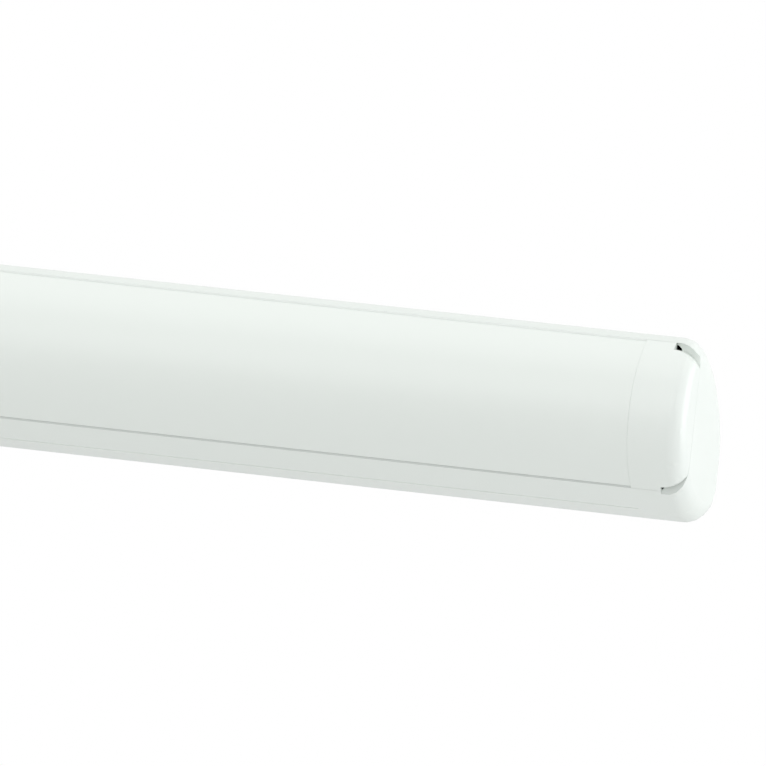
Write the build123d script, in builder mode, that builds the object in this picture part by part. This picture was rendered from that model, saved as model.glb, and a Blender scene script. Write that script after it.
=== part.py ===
from build123d import *
import math
import os

os.makedirs("parts", exist_ok=True)

# A closed cassette awning for the top of a slide-out room: case, spring roller, cloth and lead bar.
# The wall plane is Y 0 and the awning faces -Y. +X is the right end as seen from the front, +Z is up.
# The origin is the middle of the four wall holes of the middle bracket.

# Overall sizes
awning_length = 1600.0
case_height = 130.0
case_depth = 88.0

# Case outline, seen from the end
front_radius_share = 0.564    # of the case height
upper_lip_height = 4.16
top_flat = 4.2                # the level strip between the front curve and the top back curve
bottom_back_radius = 20.0
hidden_depth = 9.0            # how far the top back curve would run on behind the wall plane
least_radius = 3.0

# Case extrusion
case_wall = 2.2
recess_depth = 10.0
hook_lip_wall = 2.6
hook_lip_drop = 14.6          # from the case's upper back edge to the bottom of the hook lip
hook_pocket_height = 9.0
lock_rib_wall = 3.0
lock_rib_reach = 6.3
drip_groove_drop = 14.0
drip_groove_radius = 0.7
seal_rib_wall = 1.8
seal_rib_setback = 4.4        # from the back of the lead bar to the front of a seal rib
seal_rib_overlap = 5.5        # how far a seal rib stands behind the lead bar
channel_radius = 4.2
channel_bite = 0.6            # how far a screw channel runs into the wall beside it
channel_bore_radius = 2.1

# End cap
cap_width = 41.0
cap_wall = 2.5
front_rounding = 12.0
top_rounding = 18.0
bottom_rounding = 15.0
back_rounding = 1.0
crown_end_radius = 90.0       # of the top back curve at the end face
crown_end_share = -0.115      # of the case height: where that curve meets the end face's back edge
upper_mouth_radius = 18.0
lower_mouth_radius = 10.0
lower_mouth_step = 2.5        # how much lower the mouth is beside the lower crescent
rebate_depth = 24.5
rebate_flange_width = 15.0

# Lead bar
lead_wall = 1.8
groove_gap = 1.5              # the shadow gap between the case lips and the lead bar
lead_back_depth = 21.5
lead_cap_clearance = 0.3
lead_cap_joint = 0.3
lead_cap_gap = 0.35           # between the two caps above and below
crescent_start = 22.2         # from the seam to where the crescents begin
upper_crescent_step = 5.0     # how far the lead bar cap steps in from the mouth's edge there
lower_crescent_step = 2.8
crescent_radius = 21.0
keder_height_share = 0.331    # of the mouth height, over the middle of the mouth
keder_bore_radius = 3.5
keder_rod_radius = 3.1
keder_wall = 1.6
cloth_slot_width = 2.4
lead_web_wall = 1.6
lead_web_height_share = -0.038

# Spigots that hold the lead bar's end caps
spigot_length = 18.0
spigot_wall = 3.6
spigot_root = 6.0
spigot_width = 14.0
spigot_clearance = 0.3
spigot_height_shares = (0.16, -0.17)
cap_screw_radius = 1.75
cap_screw_head_radius = 3.2
cap_screw_head = 1.7
cap_screw_tip = 1.0
cap_screw_clearance = 0.2
countersink_angle = 90
thread_clearance = 0.05
head_sides = 6
shank_sides = 8

# Side plates
plate_wall = 3.0
plate_clearance = 0.4
tab_clearance = 0.3
tab_height = 14.0
tab_wall = 3.0
tab_height_shares = (0.275, -0.275)
hub_radius = 14.0
hub_thickness = 7.0
plate_screw_radius = 2.0
plate_screw_head_radius = 3.0
plate_screw_head = 2.6
plate_screw_length = 18.0
plate_hole_radius = 2.3

# Roller
roller_centre_depth = 48.0
roller_centre_height = 1.0
tube_radius = 20.0
tube_wall = 1.5
roll_radius = 23.8
tube_end_gap = 7.0            # from a side plate to the end of the tube
cloth_edge_gap = 12.0         # from the end of the tube to the edge of the cloth
roller_groove_radius = 2.3
roller_groove_wall = 1.1
roller_groove_slot = 1.6
roller_rod_radius = 2.0
winding_clearance = 0.3

# Plugs, pin and bush
plug_clearance = 0.05
plug_length = 25.0
flange_thickness = 3.0
flange_radius = 19.8
groove_clearance = 0.3
idler_pin_radius = 5.0
idler_pin_inset = 2.0
idler_pin_overhang = 3.0
bush_radius = 7.5
bush_flange_radius = 10.5
bush_flange = 2.0
running_clearance = 0.05

# Spring shaft and spring
shaft_radius = 5.0
shaft_square = 7.0
shaft_square_clearance = 0.1
shaft_overhang = 8.0
shaft_shoulder_gap = 0.3
split_pin_radius = 1.2
split_pin_length = 20.0
split_pin_inset = 4.0
split_pin_clearance = 0.1
wire_radius = 1.3
coil_radius = 11.0
coil_length = 96.0
coil_lap = 9.0                # how far the coil lies over the hub at each of its ends
spigot_hub_radius = 9.2
hub_margin = 4.0
anchor_collar_radius = 12.4
anchor_collar = 5.0

# Seals
seal_squeeze_gap = 0.3
seal_height = 4.4
seal_seat_gap = 0.1

# Wall brackets
bracket_length = 100.0
end_bracket_inset = 159.0     # from the seam to the middle of an end bracket
bracket_wall = 3.4
tongue_wall = 3.4
tongue_height = 8.0
hook_clearance = 0.3
step_wall = 3.7
foot_wall = 6.0
foot_clearance = 0.3
wall_hole_radius = 3.25
wall_hole_spacing_x = 60.0
wall_hole_spacing_z = 42.0
wall_hole_drop = 13.7         # from the bracket's upper step to the upper holes
lock_rib_rise = 14.8          # from the bottom of the case
lock_screw_radius = 1.9
lock_screw_head_radius = 3.0
lock_screw_head = 3.0
lock_screw_inset = 3.5

# Free cloth
cloth_thickness = 0.8

overrun = 2.0                 # cuts run this far past what they cut

# Places that follow from the sizes. A height is over the middle of the case unless it says otherwise
case_top = case_height / 2
front_radius = front_radius_share * case_height
front_centre_y = -case_depth + front_radius
corner_z = -case_top + bottom_back_radius
mouth_middle = corner_z + math.sqrt(
    (front_radius - bottom_back_radius) ** 2 - (front_centre_y + bottom_back_radius) ** 2
)
front_centre = (front_centre_y, mouth_middle)
mouth_top = case_top - upper_lip_height
mouth_height = 2 * (mouth_top - mouth_middle)
mouth_bottom = mouth_top - mouth_height
lip_blend_radius = upper_lip_height / (1 - mouth_height / 2 / front_radius)
lip_blend_reach = front_radius - lip_blend_radius
lip_blend_y = front_centre_y - math.sqrt(
    lip_blend_reach**2 - (case_top - lip_blend_radius - mouth_middle) ** 2
)
crown_radius = hidden_depth - lip_blend_y - top_flat
back_edge_height = case_top - crown_radius + math.sqrt(crown_radius**2 - (crown_radius - hidden_depth) ** 2)
crown_end_height = crown_end_share * case_height
hook_lip_bottom = back_edge_height - hook_lip_drop
hook_pocket_top = hook_lip_bottom + hook_pocket_height
bracket_step_top = hook_lip_bottom - hook_clearance
case_middle_z = wall_hole_spacing_z / 2 - bracket_step_top + wall_hole_drop
lock_rib_height = -case_top + lock_rib_rise
case_end_x = awning_length / 2 - cap_width
end_x = awning_length / 2
tube_end_x = case_end_x - tube_end_gap
cloth_end_x = tube_end_x - cloth_edge_gap
roller_centre = (-case_depth + roller_centre_depth, roller_centre_height)
roller_centre_z = case_middle_z + roller_centre_height
lead_back_y = -case_depth + lead_back_depth
rebate_y = -case_depth + rebate_depth
crescent_x = case_end_x + crescent_start
crescent_top = mouth_top - upper_crescent_step
crescent_bottom = mouth_bottom + lower_crescent_step
keder_height = mouth_middle + keder_height_share * mouth_height
lead_web_height = mouth_middle + lead_web_height_share * mouth_height
spigot_heights = [mouth_middle + share * mouth_height for share in spigot_height_shares]
tab_heights = [mouth_middle + share * mouth_height for share in tab_height_shares]
round_turns = [0, 18, 36, 54, 72, 90]


def section_plane(x):
    """A plane square to X. Its first axis is Y and its second is the height over the case's middle."""
    return Plane(origin=(x, 0, case_middle_z), x_dir=(0, 1, 0), z_dir=(1, 0, 0))


def front_plane(y):
    """A plane square to Y, seen from the front. Its second axis is the height over the case's middle."""
    return Plane(origin=(0, y, case_middle_z), x_dir=(1, 0, 0), z_dir=(0, -1, 0))


def short_arc(centre, start, end):
    """Draw the shorter arc about a centre, between two points that lie on it."""
    hub = Vector(*centre)
    towards = (Vector(*start) - hub) + (Vector(*end) - hub)
    middle = hub + towards.normalized() * (Vector(*start) - hub).length
    return ThreePointArc(start, (middle.X, middle.Y), end)


def case_outline(front_in=0, top_in=0, bottom_in=0, back_in=0, end_share=0):
    """The case's outline, drawn in by the given amounts, and its top back curve turned to the end's."""
    radius = front_radius - front_in
    corner_radius = bottom_back_radius - (bottom_in + back_in) / 2
    top = case_top - top_in
    corner = (-back_in - corner_radius, -case_top + bottom_in + corner_radius)
    front_y = -case_depth + front_in + radius
    reach = radius - corner_radius
    front = (front_y, corner[1] + math.sqrt(reach**2 - (front_y - corner[0]) ** 2))
    blend_radius = max(lip_blend_radius - (front_in + top_in) / 2, least_radius)
    blend_z = top - blend_radius
    inner = radius - blend_radius
    blend = (front_y - math.sqrt(inner**2 - (blend_z - front[1]) ** 2), blend_z)
    low = Vector(*front) + (Vector(*corner) - Vector(*front)).normalized() * radius
    high = Vector(*front) + (Vector(*blend) - Vector(*front)).normalized() * radius
    crown_y = blend[0] + top_flat
    own_radius = hidden_depth - back_in - crown_y
    own_height = top - own_radius + math.sqrt(own_radius**2 - (own_radius - hidden_depth) ** 2)
    back_top = (-back_in, own_height + end_share * (crown_end_height - own_height))
    back_bottom = (-back_in, corner[1])
    with BuildSketch() as outline:
        with BuildLine():
            short_arc(front, (low.X, low.Y), (high.X, high.Y))
            short_arc(blend, (high.X, high.Y), (blend[0], top))
            Line((blend[0], top), (crown_y, top))
            RadiusArc((crown_y, top), back_top, own_radius + end_share * (crown_end_radius - own_radius))
            Line(back_top, back_bottom)
            short_arc(corner, back_bottom, (low.X, low.Y))
        make_face()
    return outline.sketch


def front_arc_y(height, inset=0):
    """Where the front arc, drawn in by the inset, lies at a height over the case's middle."""
    radius = front_radius - inset
    return front_centre[0] - math.sqrt(radius**2 - (height - front_centre[1]) ** 2)


def rounding_inset(rounding, along):
    """How far a quarter-round end edge has drawn in at a distance from the seam."""
    past = along - (cap_width - rounding)
    return 0 if past <= 0 else rounding - math.sqrt(max(rounding**2 - past**2, 0))


def end_form():
    """The right end, from the seam to the end plane, whole and rounded."""
    first_round = cap_width - top_rounding
    with BuildPart() as form:
        with BuildSketch(section_plane(case_end_x)):
            add(case_outline())
        extrude(amount=first_round)
        for turn in round_turns:
            along = first_round + top_rounding * math.sin(math.radians(turn))
            with BuildSketch(section_plane(case_end_x + along)):
                add(
                    case_outline(
                        rounding_inset(front_rounding, along),
                        rounding_inset(top_rounding, along),
                        rounding_inset(bottom_rounding, along),
                        rounding_inset(back_rounding, along),
                        rounding_inset(top_rounding, along) / top_rounding,
                    )
                )
        loft(ruled=True)
    return form.part


def end_hollow():
    """The room inside the right end: straight behind the seam, then drawn in to the end wall."""
    first_round = cap_width - top_rounding
    with BuildPart() as hollow:
        with BuildSketch(section_plane(case_end_x - overrun)):
            add(case_outline(cap_wall, cap_wall, cap_wall, cap_wall))
        extrude(amount=first_round + overrun)
        with BuildSketch(section_plane(case_end_x + first_round)):
            add(case_outline(cap_wall, cap_wall, cap_wall, cap_wall))
        with BuildSketch(section_plane(end_x - cap_wall)):
            add(case_outline(front_rounding, top_rounding, bottom_rounding, back_rounding + cap_wall, 1))
        loft(ruled=True)
    return hollow.part


def mouth_block():
    """What is cut from the right end cap in front of its rebate."""
    with BuildPart() as block:
        with BuildSketch(front_plane(rebate_y)) as face:
            with Locations((case_end_x - overrun, mouth_bottom)):
                Rectangle(crescent_start + 2 * overrun, mouth_height, align=(Align.MIN, Align.MIN))
            with Locations((crescent_x, mouth_bottom - lower_mouth_step)):
                Rectangle(end_x + overrun - crescent_x, mouth_height + lower_mouth_step,
                          align=(Align.MIN, Align.MIN))
            fillet(face.vertices().sort_by(Axis.X)[-2:].sort_by(Axis.Y)[0], lower_mouth_radius)
            fillet(face.vertices().sort_by(Axis.X)[-2:].sort_by(Axis.Y)[-1], upper_mouth_radius)
        extrude(amount=case_depth)
    return block.part


def lead_cap_block(first_x, back_y, inset=0):
    """What lies in front of back_y within the lead bar cap's outline, drawn in by an inset."""
    radius = crescent_radius - inset
    upper = crescent_top - crescent_radius
    lower = crescent_bottom + crescent_radius
    with BuildPart() as block:
        with BuildSketch(front_plane(back_y)):
            with Locations((first_x, mouth_middle)):
                Rectangle(crescent_x - inset - first_x, mouth_height - 2 * (lead_cap_gap + inset),
                          align=(Align.MIN, Align.CENTER))
            with Locations((crescent_x, upper), (crescent_x, lower)):
                Circle(radius)
            with Locations((crescent_x - inset, lower)):
                Rectangle(radius + inset, upper - lower, align=(Align.MIN, Align.MIN))
        extrude(amount=case_depth)
    return block.part


# Case housing: one open extrusion with lips, seal ribs, screw channels and a hook rail at the back
inner_back_y = -recess_depth - case_wall
seal_rib_y = lead_back_y + seal_rib_setback
channel_seat = channel_radius - channel_bite
lower_channel_y = lead_back_y + seal_rib_setback + seal_rib_wall + 2 * channel_radius
lower_channel_z = mouth_middle - math.sqrt(
    (front_radius - case_wall - channel_seat) ** 2 - (lower_channel_y - front_centre[0]) ** 2
)
channel_places = [
    (seal_rib_y + seal_rib_wall + channel_radius + channel_bite, case_top - case_wall - channel_seat),
    (inner_back_y - channel_seat, hook_lip_bottom),
    (inner_back_y - channel_seat, corner_z + channel_radius),
    (lower_channel_y, lower_channel_z),
]
lock_rib_top = lock_rib_height + lock_rib_wall / 2
lock_rib_bottom = lock_rib_height - lock_rib_wall / 2
lock_screw_y = -recess_depth + lock_screw_inset
bracket_places = {
    "left_wall_bracket": -case_end_x + end_bracket_inset,
    "middle_wall_bracket": 0,
    "right_wall_bracket": case_end_x - end_bracket_inset,
}
lock_screw_places = [(x, lock_screw_y) for x in bracket_places.values()]

with BuildPart() as case_housing:
    with BuildSketch(section_plane(-case_end_x)) as case_section:
        add(case_outline())
        with BuildSketch(mode=Mode.PRIVATE) as case_room:
            add(case_outline(case_wall, case_wall, case_wall, case_wall))
            with Locations((inner_back_y, hook_pocket_top + case_wall)):
                Rectangle(recess_depth + overrun, case_height, align=(Align.MIN, Align.MAX),
                          mode=Mode.SUBTRACT)
        add(case_room.sketch, mode=Mode.SUBTRACT)
        # the recess that the wall brackets lie in, and the pocket that their tongues hook into
        with Locations((-recess_depth, hook_lip_bottom)):
            Rectangle(recess_depth + overrun, case_height, align=(Align.MIN, Align.MAX), mode=Mode.SUBTRACT)
        with Locations((-recess_depth, hook_pocket_top)):
            Rectangle(recess_depth - hook_lip_wall, hook_pocket_top - hook_lip_bottom + overrun,
                      align=(Align.MIN, Align.MAX), mode=Mode.SUBTRACT)
        # the mouth in front
        with Locations((-case_depth - overrun, mouth_middle)):
            Rectangle(case_depth - roller_centre_depth, mouth_height, align=(Align.MIN, Align.CENTER),
                      mode=Mode.SUBTRACT)
        # seal ribs behind the edges of the lead bar
        with Locations((seal_rib_y, mouth_top - seal_rib_overlap)):
            Rectangle(seal_rib_wall, case_top - case_wall - mouth_top + seal_rib_overlap,
                      align=(Align.MIN, Align.MIN))
        with Locations((seal_rib_y, mouth_bottom + seal_rib_overlap)):
            Rectangle(seal_rib_wall, seal_rib_overlap + case_wall, align=(Align.MIN, Align.MAX))
        # the rib that the lock screws hold
        with Locations((-recess_depth - overrun / 2, lock_rib_height)):
            Rectangle(lock_rib_reach + overrun / 2, lock_rib_wall, align=(Align.MIN, Align.CENTER))
        with Locations(*channel_places):
            Circle(channel_radius)
        with Locations(*channel_places):
            Circle(channel_bore_radius, mode=Mode.SUBTRACT)
        # the fine groove along the lower lip
        with Locations((front_arc_y(mouth_bottom - drip_groove_drop), mouth_bottom - drip_groove_drop)):
            Circle(drip_groove_radius, mode=Mode.SUBTRACT)
    extrude(amount=2 * case_end_x)
    with BuildSketch(Plane.XY.offset(case_middle_z + lock_rib_bottom - overrun)):
        with Locations(*lock_screw_places):
            RegularPolygon(lock_screw_radius + thread_clearance, shank_sides)
    extrude(amount=lock_rib_wall + 2 * overrun, mode=Mode.SUBTRACT)
case_housing.part.label = "case_housing"
export_step(case_housing.part, "parts/case_housing.step")
print("case housing solids", len(case_housing.part.solids()))

# End caps of the case: a hollow moulding with a rebate that takes the lead bar's cap
whole_end = end_form()
whole_hollow = end_hollow()
flange_x = end_x - rebate_flange_width
cap_screw_x = end_x - rebate_flange_width / 2 - cap_wall / 2
cap_screw_places = [(cap_screw_x, height) for height in tab_heights]

with BuildPart() as cap_room:
    add(whole_hollow)
    with BuildSketch(front_plane(rebate_y + cap_wall)):
        with Locations((flange_x, 0)):
            Rectangle(rebate_flange_width + overrun, case_height + overrun, align=(Align.MIN, Align.CENTER))
    extrude(amount=case_depth, mode=Mode.SUBTRACT)

with BuildPart() as right_end_cap:
    add(whole_end)
    add(cap_room.part, mode=Mode.SUBTRACT)
    add(mouth_block(), mode=Mode.SUBTRACT)
    with Locations(front_plane(rebate_y)):
        with Locations(*cap_screw_places):
            CounterSinkHole(
                cap_screw_radius + cap_screw_clearance,
                cap_screw_head_radius + cap_screw_clearance,
                depth=cap_wall + overrun,
                counter_sink_angle=countersink_angle,
            )
right_end_cap.part.label = "right_end_cap"
export_step(right_end_cap.part, "parts/right_end_cap.step")
print("end cap solids", len(right_end_cap.part.solids()))

with BuildPart() as left_end_cap:
    mirror(right_end_cap.part, about=Plane.YZ)
left_end_cap.part.label = "left_end_cap"
export_step(left_end_cap.part, "parts/left_end_cap.step")

# Side plates: they close the extrusion, carry the roller and hold the end caps by two tabs
tab_front_y = rebate_y + cap_wall + tab_clearance
tab_reach = cap_width - cap_wall - tab_clearance
plate_inset = cap_wall + plate_clearance


def roller_plane(x):
    """A plane square to X with its origin on the roller's axis."""
    return Plane(
        origin=(x, roller_centre[0], roller_centre_z), x_dir=(0, 1, 0), z_dir=(1, 0, 0)
    )


def side_plate():
    """The right side plate without the hole in its hub."""
    with BuildPart() as plate:
        with BuildSketch(section_plane(case_end_x)):
            add(case_outline(plate_inset, plate_inset, plate_inset, plate_inset))
            with Locations((tab_front_y, 0)):
                Rectangle(case_depth, case_height, align=(Align.MIN, Align.CENTER), mode=Mode.INTERSECT)
        extrude(amount=plate_wall)
        with BuildSketch(section_plane(case_end_x)):
            with Locations(*[(tab_front_y, height) for height in tab_heights]):
                Rectangle(tab_wall, tab_height, align=(Align.MIN, Align.CENTER))
        extrude(amount=tab_reach)
        with BuildSketch(roller_plane(case_end_x)):
            Circle(hub_radius)
        extrude(amount=hub_thickness)
        with BuildSketch(section_plane(case_end_x - overrun)):
            with Locations(*channel_places):
                Circle(plate_hole_radius)
        extrude(amount=plate_wall + 2 * overrun, mode=Mode.SUBTRACT)
        with BuildSketch(front_plane(tab_front_y + tab_wall + overrun)):
            with Locations(*cap_screw_places):
                RegularPolygon(cap_screw_radius + thread_clearance, shank_sides)
        extrude(amount=tab_wall + 2 * overrun, mode=Mode.SUBTRACT)
    return plate.part


with BuildPart() as right_side_plate:
    add(side_plate())
    with BuildSketch(roller_plane(case_end_x - overrun)):
        Rectangle(shaft_square + 2 * shaft_square_clearance, shaft_square + 2 * shaft_square_clearance)
    extrude(amount=hub_thickness + 2 * overrun, mode=Mode.SUBTRACT)
right_side_plate.part.label = "right_side_plate"
export_step(right_side_plate.part, "parts/right_side_plate.step")

with BuildPart() as left_side_plate:
    mirror(side_plate(), about=Plane.YZ)
    with BuildSketch(roller_plane(-case_end_x + overrun)):
        Circle(bush_radius + thread_clearance)
    extrude(amount=-hub_thickness - 2 * overrun, mode=Mode.SUBTRACT)
left_side_plate.part.label = "left_side_plate"
export_step(left_side_plate.part, "parts/left_side_plate.step")

# Screws: four into the channels of the housing, two into the tabs, two into the lead bar's spigots
with BuildPart() as right_plate_screws:
    with BuildSketch(section_plane(case_end_x + plate_wall)):
        with Locations(*channel_places):
            RegularPolygon(plate_screw_head_radius, head_sides)
    extrude(amount=plate_screw_head)
    with BuildSketch(section_plane(case_end_x + plate_wall - plate_screw_length)):
        with Locations(*channel_places):
            RegularPolygon(plate_screw_radius, shank_sides)
    extrude(amount=plate_screw_length)
right_plate_screws.part.label = "right_plate_screws"
export_step(right_plate_screws.part, "parts/right_plate_screws.step")

with BuildPart() as left_plate_screws:
    mirror(right_plate_screws.part, about=Plane.YZ)
left_plate_screws.part.label = "left_plate_screws"
export_step(left_plate_screws.part, "parts/left_plate_screws.step")

cap_screw_end_y = tab_front_y + tab_wall + cap_screw_tip
countersink_depth = cap_screw_head_radius - cap_screw_radius
with BuildPart() as right_cap_screws:
    for place in cap_screw_places:
        with BuildSketch(front_plane(rebate_y + countersink_depth)):
            with Locations(place):
                RegularPolygon(cap_screw_radius, shank_sides)
        with BuildSketch(front_plane(rebate_y)):
            with Locations(place):
                RegularPolygon(cap_screw_head_radius, shank_sides)
        loft(ruled=True)
        with BuildSketch(front_plane(cap_screw_end_y)):
            with Locations(place):
                RegularPolygon(cap_screw_radius, shank_sides)
        extrude(amount=cap_screw_end_y - rebate_y - countersink_depth)
right_cap_screws.part.label = "right_cap_screws"
export_step(right_cap_screws.part, "parts/right_cap_screws.step")

with BuildPart() as left_cap_screws:
    mirror(right_cap_screws.part, about=Plane.YZ)
left_cap_screws.part.label = "left_cap_screws"
export_step(left_cap_screws.part, "parts/left_cap_screws.step")

# Lead bar: a hollow bulged extrusion with a cloth slot, drawn out of the case's mouth
lead_height = mouth_height - 2 * groove_gap
keder_y = lead_back_y - keder_wall - keder_bore_radius
lead_screw_x = case_end_x - spigot_length / 2
lead_screw_places = [(lead_screw_x, spigot_heights[0])]

with BuildPart() as lead_bar:
    with BuildSketch(section_plane(-case_end_x)):
        add(case_outline())
        with Locations((lead_back_y, mouth_middle)):
            Rectangle(case_depth, lead_height, align=(Align.MAX, Align.CENTER), mode=Mode.INTERSECT)
        with BuildSketch(mode=Mode.PRIVATE) as lead_room:
            add(case_outline(lead_wall, lead_wall, lead_wall, lead_wall))
            with Locations((lead_back_y - lead_wall, mouth_middle)):
                Rectangle(case_depth, lead_height - 2 * lead_wall, align=(Align.MAX, Align.CENTER),
                          mode=Mode.INTERSECT)
            with Locations((lead_back_y, lead_web_height)):
                Rectangle(case_depth, lead_web_wall, align=(Align.MAX, Align.CENTER), mode=Mode.SUBTRACT)
            with Locations((keder_y, keder_height)):
                Circle(keder_bore_radius + keder_wall, mode=Mode.SUBTRACT)
        add(lead_room.sketch, mode=Mode.SUBTRACT)
        with Locations((keder_y, keder_height)):
            Circle(keder_bore_radius, mode=Mode.SUBTRACT)
            Rectangle(case_depth - roller_centre_depth, cloth_slot_width, align=(Align.MIN, Align.CENTER),
                      mode=Mode.SUBTRACT)
    extrude(amount=2 * case_end_x)
    with BuildSketch(front_plane(lead_back_y + overrun)):
        for side in (-1, 1):
            with Locations(*[(side * x, height) for x, height in lead_screw_places]):
                Circle(cap_screw_radius + cap_screw_clearance)
    extrude(amount=lead_wall + 2 * overrun, mode=Mode.SUBTRACT)
lead_bar.part.label = "lead_bar"
export_step(lead_bar.part, "parts/lead_bar.step")
print("lead bar solids", len(lead_bar.part.solids()))

# End caps of the lead bar: hollow, with large outer corners and two spigots that reach into the bar
lead_cap_back_y = rebate_y - lead_cap_clearance
lead_cap_x = case_end_x + lead_cap_joint
spigot_back_y = lead_back_y - lead_wall - spigot_clearance
spigot_front_y = spigot_back_y - spigot_wall

with BuildPart() as lead_cap_room:
    add(whole_hollow)
    add(lead_cap_block(case_end_x - overrun, lead_cap_back_y - cap_wall, cap_wall), mode=Mode.INTERSECT)

with BuildPart() as right_lead_bar_cap:
    add(whole_end)
    add(lead_cap_block(lead_cap_x, lead_cap_back_y), mode=Mode.INTERSECT)
    add(lead_cap_room.part, mode=Mode.SUBTRACT)
    with BuildSketch(front_plane(lead_cap_back_y - cap_wall / 2)):
        with Locations(*[(lead_cap_x, height) for height in spigot_heights]):
            Rectangle(spigot_root, spigot_width, align=(Align.MIN, Align.CENTER))
    extrude(amount=lead_cap_back_y - cap_wall / 2 - spigot_front_y)
    with BuildSketch(front_plane(spigot_back_y)):
        with Locations(*[(lead_cap_x + spigot_root, height) for height in spigot_heights]):
            Rectangle(spigot_root + spigot_length, spigot_width, align=(Align.MAX, Align.CENTER))
    extrude(amount=spigot_wall)
    with BuildSketch(front_plane(spigot_back_y + overrun)):
        with Locations(*lead_screw_places):
            RegularPolygon(cap_screw_radius + thread_clearance, shank_sides)
    extrude(amount=spigot_wall + 2 * overrun, mode=Mode.SUBTRACT)
right_lead_bar_cap.part.label = "right_lead_bar_cap"
export_step(right_lead_bar_cap.part, "parts/right_lead_bar_cap.step")
print("lead bar cap solids", len(right_lead_bar_cap.part.solids()))

with BuildPart() as left_lead_bar_cap:
    mirror(right_lead_bar_cap.part, about=Plane.YZ)
left_lead_bar_cap.part.label = "left_lead_bar_cap"
export_step(left_lead_bar_cap.part, "parts/left_lead_bar_cap.step")

with BuildPart() as right_lead_cap_screw:
    with BuildSketch(front_plane(lead_back_y + cap_screw_head)):
        with Locations(*lead_screw_places):
            RegularPolygon(cap_screw_head_radius, head_sides)
    extrude(amount=cap_screw_head)
    with BuildSketch(front_plane(lead_back_y)):
        with Locations(*lead_screw_places):
            RegularPolygon(cap_screw_radius, shank_sides)
    extrude(amount=lead_back_y - spigot_front_y + cap_screw_tip)
right_lead_cap_screw.part.label = "right_lead_cap_screw"
export_step(right_lead_cap_screw.part, "parts/right_lead_cap_screw.step")

with BuildPart() as left_lead_cap_screw:
    mirror(right_lead_cap_screw.part, about=Plane.YZ)
left_lead_cap_screw.part.label = "left_lead_cap_screw"
export_step(left_lead_cap_screw.part, "parts/left_lead_cap_screw.step")

# Rubber seals on the ribs behind the lead bar's edges
seal_depth = seal_rib_setback - seal_squeeze_gap - seal_seat_gap
seal_centre = mouth_height / 2 - seal_rib_overlap + seal_height / 2 + seal_seat_gap
seal_heights = {"top_seal": mouth_middle + seal_centre, "bottom_seal": mouth_middle - seal_centre}
for seal_name, height in seal_heights.items():
    with BuildPart() as seal:
        with BuildSketch(section_plane(-case_end_x)) as seal_section:
            with Locations((lead_back_y + seal_squeeze_gap, height)):
                Rectangle(seal_depth, seal_height, align=(Align.MIN, Align.CENTER))
            fillet(seal_section.vertices().sort_by(Axis.X)[:2], seal_depth / 3)
        extrude(amount=2 * case_end_x)
    seal.part.label = seal_name
    export_step(seal.part, f"parts/{seal_name}.step")

# Wall brackets: a plate on the wall, a tongue that hooks the case and a foot for the lock screws
tongue_back_y = -hook_lip_wall - hook_clearance
tongue_front_y = tongue_back_y - tongue_wall
foot_top = lock_rib_bottom - foot_clearance
foot_bottom = foot_top - foot_wall
foot_front_y = -recess_depth + foot_clearance
for bracket_name, bracket_x in bracket_places.items():
    with BuildPart() as bracket:
        with BuildSketch(section_plane(bracket_x - bracket_length / 2)):
            with BuildLine():
                Polyline(
                    (0, foot_bottom),
                    (0, bracket_step_top),
                    (tongue_back_y, bracket_step_top),
                    (tongue_back_y, bracket_step_top + tongue_height),
                    (tongue_front_y, bracket_step_top + tongue_height),
                    (tongue_front_y, bracket_step_top - step_wall),
                    (-bracket_wall, bracket_step_top - step_wall),
                    (-bracket_wall, foot_top),
                    (foot_front_y, foot_top),
                    (foot_front_y, foot_bottom),
                    close=True,
                )
            make_face()
        extrude(amount=bracket_length)
        with BuildSketch(Plane.XZ.offset(-overrun)):
            with Locations((bracket_x, 0)):
                with GridLocations(wall_hole_spacing_x, wall_hole_spacing_z, 2, 2):
                    Circle(wall_hole_radius)
        extrude(amount=bracket_wall + 2 * overrun, mode=Mode.SUBTRACT)
        with BuildSketch(Plane.XY.offset(case_middle_z + foot_bottom - overrun)):
            with Locations((bracket_x, lock_screw_y)):
                Circle(lock_screw_radius + cap_screw_clearance)
        extrude(amount=foot_wall + 2 * overrun, mode=Mode.SUBTRACT)
    bracket.part.label = bracket_name
    export_step(bracket.part, f"parts/{bracket_name}.step")

with BuildPart() as bracket_lock_screws:
    with BuildSketch(Plane.XY.offset(case_middle_z + foot_bottom - lock_screw_head)):
        with Locations(*lock_screw_places):
            RegularPolygon(lock_screw_head_radius, head_sides)
    extrude(amount=lock_screw_head)
    with BuildSketch(Plane.XY.offset(case_middle_z + foot_bottom)):
        with Locations(*lock_screw_places):
            RegularPolygon(lock_screw_radius, shank_sides)
    extrude(amount=lock_rib_top + cap_screw_tip - foot_bottom)
bracket_lock_screws.part.label = "bracket_lock_screws"
export_step(bracket_lock_screws.part, "parts/bracket_lock_screws.step")

# Roller: a tube with an inward groove for the cloth's edge rod, and a plug at each end
tube_bore = tube_radius - tube_wall
groove_seat = tube_radius - roller_groove_radius - roller_groove_wall
groove_body = roller_groove_radius + roller_groove_wall

with BuildPart() as roller_tube:
    with BuildSketch(roller_plane(-tube_end_x)):
        Circle(tube_radius)
        Circle(tube_bore, mode=Mode.SUBTRACT)
        with Locations((0, groove_seat)):
            Circle(groove_body)
            Circle(roller_groove_radius, mode=Mode.SUBTRACT)
            Rectangle(roller_groove_slot, tube_radius, align=(Align.CENTER, Align.MIN), mode=Mode.SUBTRACT)
    extrude(amount=2 * tube_end_x)
roller_tube.part.label = "roller_tube"
export_step(roller_tube.part, "parts/roller_tube.step")

plug_radius = tube_bore - plug_clearance
plug_end_x = tube_end_x - plug_length


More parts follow.
